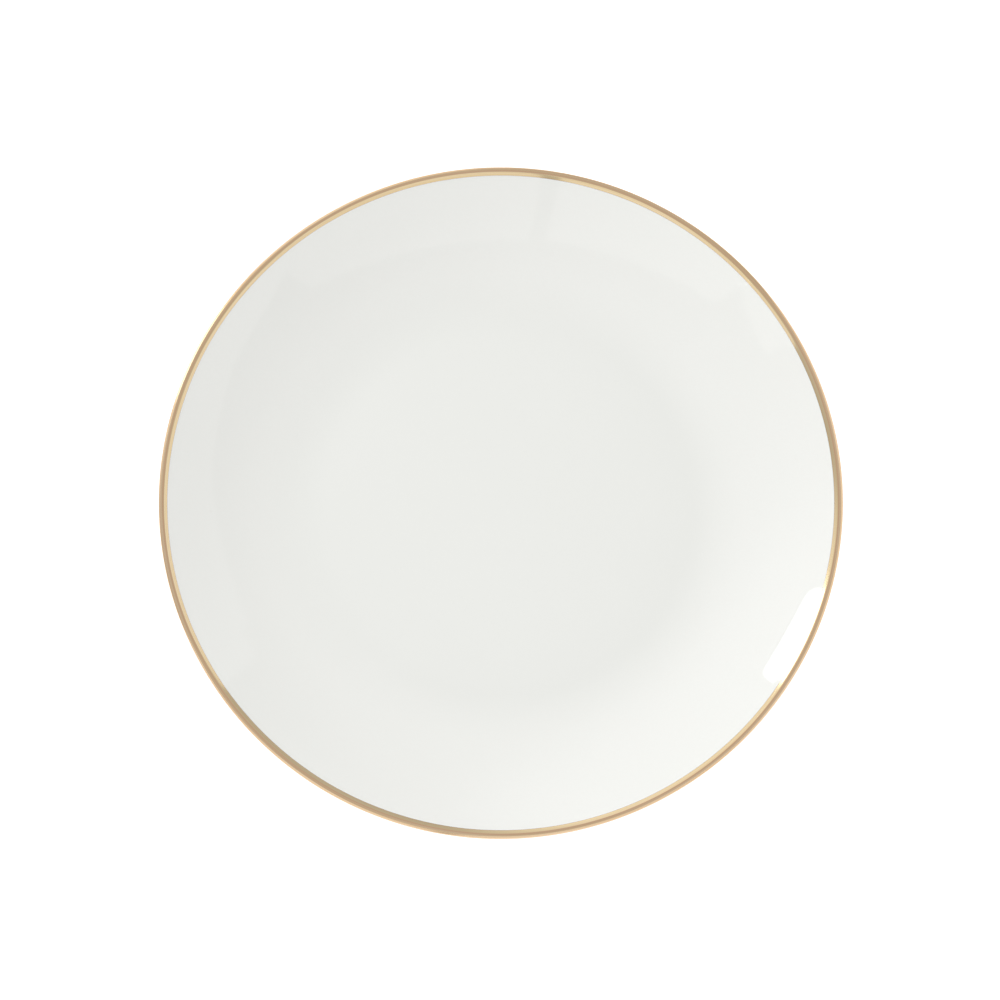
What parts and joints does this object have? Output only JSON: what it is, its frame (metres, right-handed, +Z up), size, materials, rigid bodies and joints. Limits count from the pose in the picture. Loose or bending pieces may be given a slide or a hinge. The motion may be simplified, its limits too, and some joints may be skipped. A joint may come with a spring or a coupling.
{
  "type": "dinner plate",
  "caption": "Round coupe dinner plate in white glazed bone china, with a broad flat well, a smooth rising wall, a gilded rounded rim and a low unglazed foot ring.",
  "frame": {"origin": "centre of the foot ring's flat base, on the plate's axis", "axes": "+Z up along the plate's axis, out of the face that food lies on; X and Y are any two level directions, as the plate is round"},
  "size_m": [0.27, 0.27, 0.0254],
  "materials": {
    "bone_china": "matte",
    "glaze": "polished",
    "gilding": "polished",
    "mark_print": "satin"
  },
  "bodies": {
    "root": {"china_body": "bone_china", "glaze_coat": "glaze", "base_glaze": "glaze", "gold_band": "gilding", "backstamp": "mark_print"}
  },
  "joints": []
}
